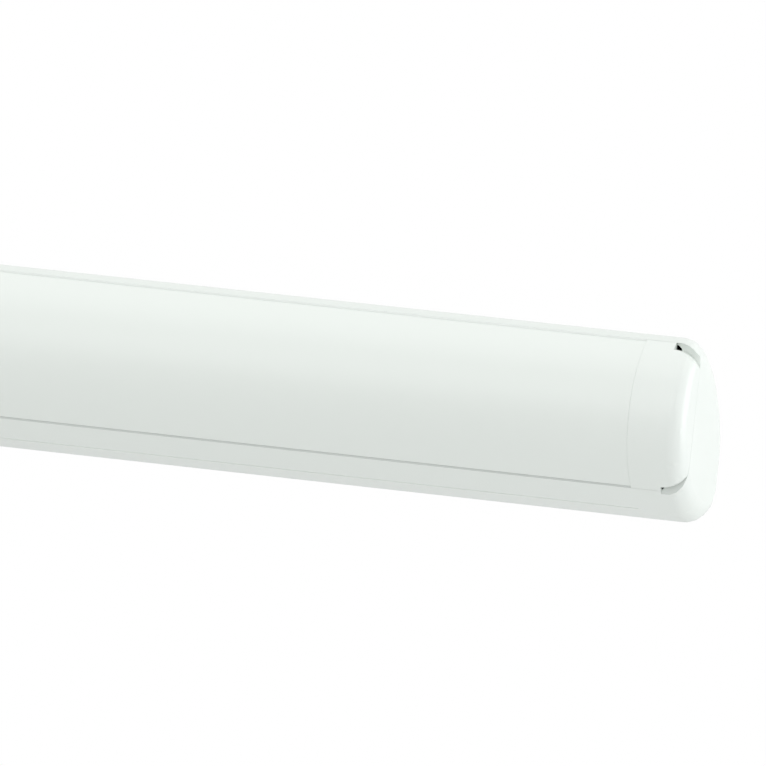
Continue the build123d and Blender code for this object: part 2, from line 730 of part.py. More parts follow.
def tube_plug():
    """The right end plug's body and flange, with the notch that clears the tube's groove."""
    with BuildPart() as plug:
        with BuildSketch(roller_plane(plug_end_x)):
            Circle(plug_radius)
            with Locations((0, groove_seat)):
                Circle(groove_body + groove_clearance, mode=Mode.SUBTRACT)
        extrude(amount=plug_length)
        with BuildSketch(roller_plane(tube_end_x)):
            Circle(flange_radius)
        extrude(amount=flange_thickness)
    return plug.part


# Idler end, on the left: plug, pin and flanged bush
pin_inner_x = plug_end_x + idler_pin_inset
pin_outer_x = case_end_x + hub_thickness + idler_pin_overhang
with BuildPart() as idler_plug:
    mirror(tube_plug(), about=Plane.YZ)
    with BuildSketch(roller_plane(-pin_inner_x)):
        Circle(idler_pin_radius + thread_clearance)
    extrude(amount=-plug_length - flange_thickness, mode=Mode.SUBTRACT)
idler_plug.part.label = "idler_plug"
export_step(idler_plug.part, "parts/idler_plug.step")

with BuildPart() as idler_pin:
    with BuildSketch(roller_plane(-pin_inner_x)):
        Circle(idler_pin_radius)
    extrude(amount=pin_inner_x - pin_outer_x)
idler_pin.part.label = "idler_pin"
export_step(idler_pin.part, "parts/idler_pin.step")

with BuildPart() as idler_bush:
    with BuildSketch(roller_plane(-case_end_x)):
        Circle(bush_radius)
    extrude(amount=-hub_thickness)
    with BuildSketch(roller_plane(-case_end_x)):
        Circle(bush_flange_radius)
    extrude(amount=bush_flange)
    with BuildSketch(roller_plane(-case_end_x + bush_flange + overrun)):
        Circle(idler_pin_radius + running_clearance)
    extrude(amount=-hub_thickness - bush_flange - 2 * overrun, mode=Mode.SUBTRACT)
idler_bush.part.label = "idler_bush"
export_step(idler_bush.part, "parts/idler_bush.step")

# Spring end, on the right. The spring's close turns lie on the end plug's hub and on the anchor's hub.
coil_start_x = plug_end_x - hub_margin
coil_end_x = coil_start_x - coil_length
anchor_x = coil_end_x - hub_margin
shaft_inner_x = anchor_x - anchor_collar
shaft_end_x = case_end_x + hub_thickness + shaft_overhang
split_pin_x = case_end_x + hub_thickness + split_pin_inset

with BuildPart() as torsion_spring:
    with BuildSketch(roller_plane(coil_end_x)):
        Circle(coil_radius + wire_radius)
        Circle(coil_radius - wire_radius, mode=Mode.SUBTRACT)
    extrude(amount=coil_length)
torsion_spring.part.label = "torsion_spring"
export_step(torsion_spring.part, "parts/torsion_spring.step")

with BuildPart() as shaft_end_plug:
    add(tube_plug())
    with BuildSketch(roller_plane(coil_start_x - coil_lap)):
        Circle(spigot_hub_radius)
    extrude(amount=coil_lap + hub_margin)
    with BuildSketch(roller_plane(coil_start_x - coil_lap - overrun)):
        Circle(shaft_radius + running_clearance)
    extrude(amount=coil_lap + hub_margin + plug_length + flange_thickness + 2 * overrun, mode=Mode.SUBTRACT)
shaft_end_plug.part.label = "shaft_end_plug"
export_step(shaft_end_plug.part, "parts/shaft_end_plug.step")

with BuildPart() as spring_anchor:
    with BuildSketch(roller_plane(anchor_x)):
        Circle(spigot_hub_radius)
    extrude(amount=hub_margin + coil_lap)
    with BuildSketch(roller_plane(shaft_inner_x)):
        Circle(anchor_collar_radius)
    extrude(amount=anchor_collar)
    with BuildSketch(roller_plane(shaft_inner_x - overrun)):
        Circle(shaft_radius + thread_clearance)
    extrude(amount=anchor_collar + hub_margin + coil_lap + 2 * overrun, mode=Mode.SUBTRACT)
spring_anchor.part.label = "spring_anchor"
export_step(spring_anchor.part, "parts/spring_anchor.step")

with BuildPart() as spring_shaft:
    with BuildSketch(roller_plane(shaft_inner_x)):
        Circle(shaft_radius)
    extrude(amount=case_end_x - shaft_shoulder_gap - shaft_inner_x)
    with BuildSketch(roller_plane(case_end_x - shaft_shoulder_gap)):
        Rectangle(shaft_square, shaft_square)
    extrude(amount=shaft_end_x - case_end_x + shaft_shoulder_gap)
    with BuildSketch(Plane.XY.offset(roller_centre_z - shaft_square)):
        with Locations((split_pin_x, roller_centre[0])):
            RegularPolygon(split_pin_radius + split_pin_clearance, shank_sides)
    extrude(amount=2 * shaft_square, mode=Mode.SUBTRACT)
spring_shaft.part.label = "spring_shaft"
export_step(spring_shaft.part, "parts/spring_shaft.step")

with BuildPart() as shaft_split_pin:
    with BuildSketch(Plane.XY.offset(roller_centre_z - split_pin_length / 2)):
        with Locations((split_pin_x, roller_centre[0])):
            RegularPolygon(split_pin_radius, shank_sides)
    extrude(amount=split_pin_length)
shaft_split_pin.part.label = "shaft_split_pin"
export_step(shaft_split_pin.part, "parts/shaft_split_pin.step")

# Cloth: the turns on the roller, the free stretch, and the edge rods in their grooves
with BuildPart() as roller_keder:
    with BuildSketch(roller_plane(-cloth_end_x)):
        with Locations((0, groove_seat)):
            Circle(roller_rod_radius)
    extrude(amount=2 * cloth_end_x)
roller_keder.part.label = "roller_keder"
export_step(roller_keder.part, "parts/roller_keder.step")

with BuildPart() as fabric_roll:
    with BuildSketch(roller_plane(-cloth_end_x)):
        Circle(roll_radius)
        Circle(tube_radius + winding_clearance, mode=Mode.SUBTRACT)
    extrude(amount=2 * cloth_end_x)
fabric_roll.part.label = "fabric_roll"
export_step(fabric_roll.part, "parts/fabric_roll.step")

with BuildPart() as lead_bar_keder:
    with BuildSketch(section_plane(-cloth_end_x)):
        with Locations((keder_y, keder_height)):
            Circle(keder_rod_radius)
    extrude(amount=2 * cloth_end_x)
lead_bar_keder.part.label = "lead_bar_keder"
export_step(lead_bar_keder.part, "parts/lead_bar_keder.step")

slot_mouth = Vector(lead_back_y, keder_height)
slot_end = Vector(keder_y + keder_rod_radius + winding_clearance, keder_height)
leave_radius = roll_radius + winding_clearance + cloth_thickness / 2
to_slot = slot_mouth - Vector(*roller_centre)
slot_turn = math.atan2(to_slot.Y, to_slot.X)
leave_turn = slot_turn - math.acos(leave_radius / to_slot.length)
leave_point = Vector(*roller_centre) + Vector(math.cos(leave_turn), math.sin(leave_turn)) * leave_radius
with BuildPart() as fabric_panel:
    with BuildSketch(section_plane(-cloth_end_x)):
        with BuildLine() as cloth_line:
            Polyline((leave_point.X, leave_point.Y), (slot_mouth.X, slot_mouth.Y), (slot_end.X, slot_end.Y))
        trace(line_width=cloth_thickness)
    extrude(amount=2 * cloth_end_x)
fabric_panel.part.label = "fabric_panel"
export_step(fabric_panel.part, "parts/fabric_panel.step")
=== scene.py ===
import bpy
import math
from mathutils import Matrix, Vector


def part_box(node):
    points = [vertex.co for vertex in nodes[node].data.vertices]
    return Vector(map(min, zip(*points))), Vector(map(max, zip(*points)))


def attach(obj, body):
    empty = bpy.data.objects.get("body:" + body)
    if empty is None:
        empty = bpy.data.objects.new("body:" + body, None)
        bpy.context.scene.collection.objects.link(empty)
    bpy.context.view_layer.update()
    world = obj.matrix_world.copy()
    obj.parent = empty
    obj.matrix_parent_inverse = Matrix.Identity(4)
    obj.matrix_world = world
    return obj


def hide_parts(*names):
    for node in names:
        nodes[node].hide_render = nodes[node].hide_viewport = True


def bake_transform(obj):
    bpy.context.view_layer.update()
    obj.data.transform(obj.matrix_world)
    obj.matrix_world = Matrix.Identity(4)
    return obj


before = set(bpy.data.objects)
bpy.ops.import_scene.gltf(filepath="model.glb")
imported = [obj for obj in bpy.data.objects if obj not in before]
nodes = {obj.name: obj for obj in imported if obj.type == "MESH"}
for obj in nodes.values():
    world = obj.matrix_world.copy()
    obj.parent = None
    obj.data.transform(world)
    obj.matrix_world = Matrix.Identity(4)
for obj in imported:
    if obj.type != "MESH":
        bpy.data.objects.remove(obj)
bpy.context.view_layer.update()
scene = bpy.context.scene
scene.view_settings.view_transform = "Standard"
print("frame loaded, nodes:", len(nodes))

mm = 0.001               # lengths are in metres, and the small ones are written as so many mm
facingShare = 0.9        # a face looks along an axis where its normal's part along it passes this
mergeDistance = 0.002 * mm

# Where the main pieces lie, read from the frame
housingLow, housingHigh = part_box("case_housing")
tubeLow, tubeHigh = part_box("roller_tube")
rollLow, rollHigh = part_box("fabric_roll")
panelLow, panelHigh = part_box("fabric_panel")
leadLow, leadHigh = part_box("lead_bar")
rollerMiddle = (tubeLow + tubeHigh) / 2
caseMiddleZ = (housingLow.z + housingHigh.z) / 2
clothWidth = panelHigh.x - panelLow.x


# Materials: one short function for each kind of finish, on Object coordinates or the cloth's own map

noiseMiddle = (0.3, 0.7)  # nearly all of a noise lies between these


def startMaterial(name, look):
    material = bpy.data.materials.new(name)
    material.use_nodes = True
    shader = material.node_tree.nodes["Principled BSDF"]
    shader.inputs["Base Color"].default_value = (*look["colour"], 1)
    shader.inputs["Roughness"].default_value = look["roughness"]
    shader.inputs["Metallic"].default_value = look.get("metallic", 0)
    shader.inputs["Coat Weight"].default_value = look.get("coat", 0)
    shader.inputs["Coat Roughness"].default_value = look.get("coatRoughness", 0.05)
    shader.inputs["Sheen Weight"].default_value = look.get("sheen", 0)
    return material, shader


def addNode(material, kind, **values):
    node = material.node_tree.nodes.new(kind)
    for key, value in values.items():
        if key in node.inputs:
            node.inputs[key].default_value = value
        else:
            setattr(node, key, value)
    return node


def link(material, source, target):
    material.node_tree.links.new(source, target)


def addMath(material, operation, *values):
    node = addNode(material, "ShaderNodeMath", operation=operation)
    for index, value in enumerate(values):
        if isinstance(value, (int, float)):
            node.inputs[index].default_value = value
        else:
            link(material, value, node.inputs[index])
    return node.outputs["Value"]


def splitAxes(material, vector):
    parts = addNode(material, "ShaderNodeSeparateXYZ")
    link(material, vector, parts.inputs["Vector"])
    return parts.outputs


def objectPlace(material, stretch=(1, 1, 1)):
    coordinates = addNode(material, "ShaderNodeTexCoord")
    mapping = addNode(material, "ShaderNodeMapping")
    mapping.inputs["Scale"].default_value = stretch
    link(material, coordinates.outputs["Object"], mapping.inputs["Vector"])
    return mapping.outputs["Vector"]


def addNoise(material, look, kind, place):
    # the look's cloud, peel, blotch or grain, at its scale
    noise = addNode(material, "ShaderNodeTexNoise", Scale=look[kind + "Scale"], Detail=look[kind + "Detail"],
                    Roughness=look.get(kind + "Rough", 0.5))
    link(material, place, noise.inputs["Vector"])
    return noise.outputs["Fac"]


def addRange(material, value, fromRange, toRange=(0.0, 1.0)):
    spread = addNode(material, "ShaderNodeMapRange")
    sockets = ("From Min", "From Max", "To Min", "To Max")
    for socket, number in zip(sockets, (*fromRange, *toRange)):
        spread.inputs[socket].default_value = number
    link(material, value, spread.inputs["Value"])
    return spread.outputs["Result"]


def mixColours(material, factor, first, second):
    mix = addNode(material, "ShaderNodeMix", data_type="RGBA")
    link(material, factor, mix.inputs[0])
    for socket, colour in ((mix.inputs[6], first), (mix.inputs[7], second)):
        if isinstance(colour, tuple):
            socket.default_value = (*colour, 1)
        else:
            link(material, colour, socket)
    return mix.outputs[2]


def varyRoughness(material, shader, noise, look):
    roughRange = (look["roughness"] - look["glossier"], look["roughness"] + look["duller"])
    link(material, addRange(material, noise, noiseMiddle, roughRange), shader.inputs["Roughness"])


def addBump(material, shader, height, strength, distance):
    bump = addNode(material, "ShaderNodeBump", Strength=strength, Distance=distance)
    link(material, height, bump.inputs["Height"])
    link(material, bump.outputs["Normal"], shader.inputs["Normal"])


profilePaintLook = {
    "colour": (0.80, 0.845, 0.81),
    "dustAndShadeColour": (0.775, 0.82, 0.78),
    "dustRange": (0.35, 0.75),      # of the cloud
    "roughness": 0.38,
    "glossier": 0.03,
    "duller": 0.05,
    "coat": 0.2,
    "coatRoughness": 0.24,
    "cloudScale": 2.2,
    "cloudDetail": 4.0,
    "cloudStretch": (0.25, 1, 1),
    "peelScale": 420.0,
    "peelDetail": 2.0,
    "peelStretch": (0.5, 1, 1),
    "peelStrength": 0.25,
    "peelDepth": 0.03 * mm,
}


def profilePaint():
    look = profilePaintLook
    material, shader = startMaterial("profilePaint", look)
    cloud = addNoise(material, look, "cloud", objectPlace(material, look["cloudStretch"]))
    dust = addRange(material, cloud, look["dustRange"])
    colour = mixColours(material, dust, look["colour"], look["dustAndShadeColour"])
    link(material, colour, shader.inputs["Base Color"])
    varyRoughness(material, shader, cloud, look)
    peel = addNoise(material, look, "peel", objectPlace(material, look["peelStretch"]))
    addBump(material, shader, peel, look["peelStrength"], look["peelDepth"])
    return material


mouldedCapLook = {
    "colour": (0.80, 0.845, 0.81),
    "handledColour": (0.775, 0.82, 0.78),
    "handledRange": (0.4, 0.8),     # of the cloud
    "roughness": 0.38,
    "glossier": 0.03,
    "duller": 0.06,
    "coat": 0.2,
    "coatRoughness": 0.24,
    "cloudScale": 14.0,
    "cloudDetail": 4.0,
    "grainScale": 1500.0,
    "grainDetail": 2.0,
    "grainRough": 0.6,
    "grainStrength": 0.3,
    "grainDepth": 0.035 * mm,
    "pocketPaintedShade": (0.64, 0.68, 0.65),   # painted shade on the floor of the rebate, seen through the lower crescent
    "pocketFloorY": -63.5 * mm,
    "pocketMargin": 0.2 * mm,
    "fullShadeBelow": -20 * mm,
    # the painted shade is full below this height and gone above that one
    "noShadeAbove": 50 * mm,
}


def pocketShadeMask(material):
    # painted shade: 1 on the lower part of the rebate's floor, where it looks forwards, and less and less
    # further up
    look = mouldedCapLook
    coordinates = addNode(material, "ShaderNodeTexCoord")
    place = splitAxes(material, coordinates.outputs["Object"])
    facing = splitAxes(material, coordinates.outputs["Normal"])
    shadeByHeight = addRange(material, place["Z"], (look["fullShadeBelow"], look["noShadeAbove"]), (1.0, 0.0))
    onFloor = addMath(material, "COMPARE", place["Y"], look["pocketFloorY"], look["pocketMargin"])
    forwards = addMath(material, "LESS_THAN", facing["Y"], -facingShare)
    return addMath(material, "MULTIPLY", shadeByHeight, addMath(material, "MULTIPLY", onFloor, forwards))


def mouldedCapPlastic():
    look = mouldedCapLook
    material, shader = startMaterial("mouldedCapPlastic", look)
    place = objectPlace(material)
    cloud = addNoise(material, look, "cloud", place)
    handled = addRange(material, cloud, look["handledRange"])
    colour = mixColours(material, handled, look["colour"], look["handledColour"])
    # painted shade: the rebate's floor is darkened to stand in for the shade in the recess behind the
    # crescents
    colour = mixColours(material, pocketShadeMask(material), colour, look["pocketPaintedShade"])
    link(material, colour, shader.inputs["Base Color"])
    varyRoughness(material, shader, cloud, look)
    grain = addNoise(material, look, "grain", place)
    addBump(material, shader, grain, look["grainStrength"], look["grainDepth"])
    return material


metalGrain = {
    "metallic": 1, "grainsPerBlotch": 12, "blotchDetail": 5.0, "blotchRange": (0.35, 0.7),
    "grainDetail": 3.0, "grainRough": 0.6, "grainStrength": 0.35, "glossier": 0.08, "duller": 0.12,
}
metalLooks = {
    "castPlateAlloy": {"colour": (0.56, 0.57, 0.58), "blotchColour": (0.42, 0.43, 0.44), "roughness": 0.46,
                       "grainScale": 700.0, "grainDepth": 0.09 * mm, "grainStretch": (1, 1, 1)},
    "bracketAlloy": {"colour": (0.66, 0.67, 0.68), "blotchColour": (0.55, 0.56, 0.57), "roughness": 0.34,
                     "grainScale": 900.0, "grainDepth": 0.03 * mm, "grainStretch": (0.02, 1, 1)},
    "zincScrew": {"colour": (0.62, 0.63, 0.62), "blotchColour": (0.50, 0.51, 0.50), "roughness": 0.30,
                  "grainScale": 1200.0, "grainDepth": 0.01 * mm, "grainStretch": (1, 1, 1)},
    "rollerTubeAlloy": {"colour": (0.64, 0.65, 0.66), "blotchColour": (0.52, 0.53, 0.55), "roughness": 0.36,
                        "grainScale": 1100.0, "grainDepth": 0.02 * mm, "grainStretch": (0.01, 1, 1)},
    "shaftSteel": {"colour": (0.53, 0.53, 0.54), "blotchColour": (0.40, 0.40, 0.41), "roughness": 0.28,
                   "grainScale": 1600.0, "grainDepth": 0.01 * mm, "grainStretch": (1, 0.05, 0.05)},
    "springSteel": {"colour": (0.22, 0.23, 0.25), "blotchColour": (0.12, 0.12, 0.13), "roughness": 0.33,
                    "grainScale": 900.0, "grainDepth": 0.02 * mm, "grainStretch": (1, 1, 1)},
    "anchorAlloy": {"colour": (0.52, 0.52, 0.53), "blotchColour": (0.40, 0.40, 0.41), "roughness": 0.42,
                    "grainScale": 800.0, "grainDepth": 0.05 * mm, "grainStretch": (1, 1, 1)},
}

plasticGrain = {
    "metallic": 0, "grainsPerBlotch": 10, "blotchDetail": 4.0, "blotchRange": (0.4, 0.75),
    "grainDetail": 2.0, "grainRough": 0.6, "grainStrength": 0.35, "glossier": 0.06, "duller": 0.08,
}
plasticLooks = {
    "sealRubber": {"colour": (0.88, 0.92, 0.89), "blotchColour": (0.84, 0.88, 0.85), "roughness": 0.62,
                   "grainScale": 600.0, "grainDepth": 0.05 * mm, "grainStretch": (0.05, 1, 1),
                   # the darker colour low down is painted shade of the lower groove
                   "dustAndShadeColour": (0.63, 0.665, 0.64), "fullShadeBelow": 0.0, "noShadeAbove": 0.04},
    "plugPlastic": {"colour": (0.035, 0.036, 0.04), "blotchColour": (0.06, 0.06, 0.065), "roughness": 0.48,
                    "grainScale": 1300.0, "grainDepth": 0.04 * mm, "grainStretch": (1, 1, 1)},
    "edgeRodPlastic": {"colour": (0.66, 0.67, 0.65), "blotchColour": (0.58, 0.59, 0.57), "roughness": 0.42,
                       "grainScale": 900.0, "grainDepth": 0.03 * mm, "grainStretch": (0.05, 1, 1)},
}


def grainedFinish(name, look, grainKind):
    look = {**look, **grainKind, "blotchScale": look["grainScale"] / grainKind["grainsPerBlotch"]}
    material, shader = startMaterial(name, look)
    place = objectPlace(material, look["grainStretch"])
    blotches = addRange(material, addNoise(material, look, "blotch", place), look["blotchRange"])
    colour = mixColours(material, blotches, look["colour"], look["blotchColour"])
    if "dustAndShadeColour" in look:  # painted shade: the lower seal is coloured darker, standing in for the shade in the lower groove
        height = splitAxes(material, objectPlace(material))["Z"]
        unshadedShare = addRange(material, height, (look["fullShadeBelow"], look["noShadeAbove"]))
        colour = mixColours(material, unshadedShare, look["dustAndShadeColour"], colour)
    link(material, colour, shader.inputs["Base Color"])
    grain = addNoise(material, look, "grain", place)
    varyRoughness(material, shader, grain, look)
    addBump(material, shader, grain, look["grainStrength"], look["grainDepth"])
    return material


clothLook = {
    "colour": (0.70, 0.715, 0.715),
    "threadShade": (0.60, 0.615, 0.62),
    "stitchColour": (0.80, 0.80, 0.78),
    "roughness": 0.52,
    "sheen": 0.15,
    "threadsPerMetre": 1150.0,
    "threadDepth": 0.08 * mm,
    "reliefStrength": 0.6,
    "cloudScale": 6.0,
    "cloudDetail": 4.0,
    "cloudShare": 0.5,           # of the shading, and the weave has the rest
    "hemWidth": 25 * mm,
    "hemFade": 0.4 * mm,
    "hemRise": 3.0,              # in thread depths
    "stitchLength": 4.5 * mm,
    "stitchWidth": 1.0 * mm,
    "stitchInset": 20 * mm,
    "stitchRise": 3.0,
    "stitchStart": -0.35,        # a stitch shows where the wave along the hem is above this
}


def awningCloth():
    look = clothLook
    material, shader = startMaterial("awningCloth", look)
    clothMap = addNode(material, "ShaderNodeUVMap", uv_map="clothMap").outputs["UV"]
    parts = splitAxes(material, clothMap)
    across, along = parts["X"], parts["Y"]
    turn = 2 * math.pi * look["threadsPerMetre"] / 2
    weft = addMath(material, "SINE", addMath(material, "MULTIPLY", along, turn))
    warp = addMath(material, "SINE", addMath(material, "MULTIPLY", across, turn))
    weave = addMath(material, "MULTIPLY_ADD", addMath(material, "MULTIPLY", weft, warp), 0.5, 0.5)  # 0 to 1
    # distance in from the nearer side edge, for the hems and their stitches
    fromMiddle = addMath(material, "ABSOLUTE", addMath(material, "SUBTRACT", across, clothWidth / 2))
    edge = addMath(material, "SUBTRACT", clothWidth / 2, fromMiddle)
    hemEdge = (look["hemWidth"] - look["hemFade"], look["hemWidth"] + look["hemFade"])
    hem = addRange(material, edge, hemEdge, (1.0, 0.0))
    wave = addMath(material, "SINE", addMath(material, "MULTIPLY", along, 2 * math.pi / look["stitchLength"]))
    dash = addMath(material, "GREATER_THAN", wave, look["stitchStart"])
    fromLine = addMath(material, "ABSOLUTE", addMath(material, "SUBTRACT", edge, look["stitchInset"]))
    line = addMath(material, "LESS_THAN", fromLine, look["stitchWidth"] / 2)
    stitch = addMath(material, "MULTIPLY", dash, line)
    cloud = addMath(material, "MULTIPLY", addNoise(material, look, "cloud", clothMap), look["cloudShare"])
    shade = addMath(material, "MULTIPLY_ADD", weave, 1 - look["cloudShare"], cloud)
    cloth = mixColours(material, shade, look["colour"], look["threadShade"])
    link(material, mixColours(material, stitch, cloth, look["stitchColour"]), shader.inputs["Base Color"])
    stitchHeight = addMath(material, "MULTIPLY", stitch, look["stitchRise"])
    raised = addMath(material, "MULTIPLY_ADD", hem, look["hemRise"], stitchHeight)
    relief = addMath(material, "ADD", weave, raised)
    addBump(material, shader, relief, look["reliefStrength"], look["threadDepth"])
    return material


paint = profilePaint()
capPlastic = mouldedCapPlastic()
metals = {name: grainedFinish(name, look, metalGrain) for name, look in metalLooks.items()}
plastics = {name: grainedFinish(name, look, plasticGrain) for name, look in plasticLooks.items()}
cloth = awningCloth()
print("materials made")


# Helpers for pieces

def deselectAll():
    if bpy.context.object and bpy.context.object.mode != "OBJECT":
        bpy.ops.object.mode_set(mode="OBJECT")
    bpy.ops.object.select_all(action="DESELECT")
    scene.tool_settings.mesh_select_mode = (True, False, False)


def makeActive(piece):
    deselectAll()
    piece.select_set(True)
    bpy.context.view_layer.objects.active = piece


def newPiece(name, data):
    # an object in the scene for a mesh, a lamp or a camera
    piece = bpy.data.objects.new(name, data)
    scene.collection.objects.link(piece)
    return piece


def editAll(piece):
    # leaves edit mode on, with all of the piece selected
    makeActive(piece)
    bpy.ops.object.mode_set(mode="EDIT")
    bpy.ops.mesh.select_all(action="SELECT")


def selectFaces(piece, test):
    # leaves edit mode on, with the faces selected whose normal passes the test
    makeActive(piece)
    bpy.ops.object.mode_set(mode="EDIT")
    bpy.ops.mesh.select_all(action="DESELECT")
    bpy.ops.mesh.select_mode(type="FACE")
    bpy.ops.object.mode_set(mode="OBJECT")
    for face in piece.data.polygons:
        face.select = test(face.normal)
    bpy.ops.object.mode_set(mode="EDIT")


def selectEdges(piece, test):
    # leaves edit mode on, with the edges selected whose two ends pass the test
    makeActive(piece)
    bpy.ops.object.mode_set(mode="EDIT")
    bpy.ops.mesh.select_all(action="DESELECT")
    bpy.ops.mesh.select_mode(type="EDGE")
    bpy.ops.object.mode_set(mode="OBJECT")
    points = piece.data.vertices
    for edge in piece.data.edges:
        edge.select = all(test(points[end].co) for end in edge.vertices)
    bpy.ops.object.mode_set(mode="EDIT")


def applyPlace(piece):
    makeActive(piece)
    bpy.ops.object.transform_apply(location=True, rotation=True, scale=True)


def applyModifiers(piece):
    makeActive(piece)
    for modifier in list(piece.modifiers):
        bpy.ops.object.modifier_apply(modifier=modifier.name)


def dress(piece, material):
    piece.data.materials.clear()
    piece.data.materials.append(material)


def fitPiece(piece, body, material, replaced):
    dress(piece, material)
    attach(piece, body)
    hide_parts(replaced)


# Profiles, caps, plates and brackets: a merged copy of the node with its edges eased

easing = {
    "flatAngle": math.radians(0.2),
    "sharpAngle": math.radians(38),
    "segments": 2,
    "smoothAngle": math.radians(32),
}
easedPieces = {
    # node: name, width of the eased edge, body, slot, material
    "case_housing": ("caseHousing", 0.25 * mm, "case", "white_profile", paint),
    "lead_bar": ("leadBar", 0.18 * mm, "lead_bar", "white_profile", paint),
    "right_end_cap": ("rightEndCap", 0.2 * mm, "case", "white_cap", capPlastic),
    "left_end_cap": ("leftEndCap", 0.2 * mm, "case", "white_cap", capPlastic),
    "right_lead_bar_cap": ("rightLeadBarCap", 0.16 * mm, "lead_bar", "white_cap", capPlastic),
    "left_lead_bar_cap": ("leftLeadBarCap", 0.16 * mm, "lead_bar", "white_cap", capPlastic),
    "right_side_plate": ("rightSidePlate", 0.3 * mm, "case", "plate_alloy", metals["castPlateAlloy"]),
    "left_side_plate": ("leftSidePlate", 0.3 * mm, "case", "plate_alloy", metals["castPlateAlloy"]),
    "left_wall_bracket": ("leftWallBracket", 0.3 * mm, "case", "bracket_alloy", metals["bracketAlloy"]),
    "middle_wall_bracket": ("middleWallBracket", 0.3 * mm, "case", "bracket_alloy", metals["bracketAlloy"]),
    "right_wall_bracket": ("rightWallBracket", 0.3 * mm, "case", "bracket_alloy", metals["bracketAlloy"]),
}
capFit = {
    "seamGap": 0.3 * mm,         # in the frame, between the lead bar's end and its cap's shoulder
    "seamLeft": 0.08 * mm,       # what stays of it
    "mouthGapClosed": 0.25 * mm,
    "backGapClosed": 0.2 * mm,
    "nearEnough": 0.02 * mm,
}


def closeCapGaps(piece):
    # the cap's shoulder nearly meets the lead bar, and its top, foot and back the cap of the case
    near = capFit["nearEnough"]
    shoulder = leadHigh.x + capFit["seamGap"]
    top = max(point.co.z for point in piece.data.vertices)
    foot = min(point.co.z for point in piece.data.vertices)
    back = max(point.co.y for point in piece.data.vertices)
    for point in piece.data.vertices:
        if abs(abs(point.co.x) - shoulder) < near:
            point.co.x -= math.copysign(capFit["seamGap"] - capFit["seamLeft"], point.co.x)
        if top - point.co.z < near:
            point.co.z += capFit["mouthGapClosed"]
        elif point.co.z - foot < near:
            point.co.z -= capFit["mouthGapClosed"]
        if back - point.co.y < near:
            point.co.y += capFit["backGapClosed"]


def easedCopy(nodeName, name, edgeWidth):
    piece = newPiece(name, nodes[nodeName].data.copy())
    editAll(piece)
    bpy.ops.mesh.remove_doubles(threshold=mergeDistance)
    bpy.ops.mesh.dissolve_limited(angle_limit=easing["flatAngle"])
    bpy.ops.object.mode_set(mode="OBJECT")
    if piece.data.has_custom_normals:
        bpy.ops.mesh.customdata_custom_splitnormals_clear()
    if "lead_bar_cap" in nodeName:
        closeCapGaps(piece)
    bevel = piece.modifiers.new("easedEdges", "BEVEL")
    bevel.width = edgeWidth
    bevel.segments = easing["segments"]
    bevel.limit_method = "ANGLE"
    bevel.angle_limit = easing["sharpAngle"]
    bevel.use_clamp_overlap = True
    applyModifiers(piece)
    bpy.ops.object.shade_smooth_by_angle(angle=easing["smoothAngle"])
    # weighted normals keep the narrow bevels from tilting the shading of the broad faces
    weights = piece.modifiers.new("flatFaceNormals", "WEIGHTED_NORMAL")
    weights.keep_sharp = True
    applyModifiers(piece)
    return piece


for nodeName, (pieceName, edgeWidth, body, slot, material) in easedPieces.items():
    fitPiece(easedCopy(nodeName, pieceName, edgeWidth), body, material, nodeName)
print("eased pieces placed:", len(easedPieces))

# CAD nodes whose shape is right as it is
nodeFinishes = {
    "shaft_split_pin": metals["zincScrew"],
    "idler_bush": plastics["plugPlastic"], "idler_plug": plastics["plugPlastic"],
    "shaft_end_plug": plastics["plugPlastic"], "roller_keder": plastics["edgeRodPlastic"],
    "lead_bar_keder": plastics["edgeRodPlastic"], "spring_anchor": metals["anchorAlloy"],
    "spring_shaft": metals["shaftSteel"], "idler_pin": metals["shaftSteel"],
    "roller_tube": metals["rollerTubeAlloy"],
}
for nodeName, material in nodeFinishes.items():
    dress(nodes[nodeName], material)
print("nodes finished:", len(nodeFinishes))


# Seals: a soft strip with a round nose towards the lead bar and a thin lip that closes the groove

sealStrip = {
    "lipHeight": 0.98 * mm,
    "lipShare": 0.45,            # of the strip's depth, at the lip's foot
    "lipTaper": 0.7,
    "noseRound": 1.1 * mm,
    "noseSegments": 4,
    "nearEnough": 0.01 * mm,
    "smoothAngle": math.radians(35),
}


def makeSeal(nodeName, name, side):
    # side is 1 where the lip points up and -1 where it points down
    low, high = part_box(nodeName)
    deselectAll()
    bpy.ops.mesh.primitive_cube_add(size=1, location=(low + high) / 2, scale=high - low)
    piece = bpy.context.object
    piece.name = name
    applyPlace(piece)
    selectFaces(piece, lambda normal: normal.z * side > facingShare)
    lipFoot = (0, low.y, high.z if side > 0 else low.z)
    bpy.ops.mesh.extrude_region_move(TRANSFORM_OT_translate={"value": (0, 0, 0)})
    bpy.ops.transform.resize(value=(1, sealStrip["lipShare"], 1), center_override=lipFoot)
    bpy.ops.mesh.extrude_region_move(TRANSFORM_OT_translate={"value": (0, 0, side * sealStrip["lipHeight"])})
    bpy.ops.transform.resize(value=(1, sealStrip["lipTaper"], 1), center_override=lipFoot)
    nose = Vector((low.y, low.z if side > 0 else high.z))
    selectEdges(piece, lambda point: (point.yz - nose).length < sealStrip["nearEnough"])
    bpy.ops.mesh.bevel(offset=sealStrip["noseRound"], segments=sealStrip["noseSegments"])
    makeActive(piece)
    bpy.ops.object.shade_smooth_by_angle(angle=sealStrip["smoothAngle"])
    fitPiece(piece, "case", plastics["sealRubber"], nodeName)


makeSeal("top_seal", "topSealStrip", 1)
makeSeal("bottom_seal", "bottomSealStrip", -1)
print("seals made")


# Screws: a turned blank with a threaded shank and a cross recess, then a copy at each of the node's solids

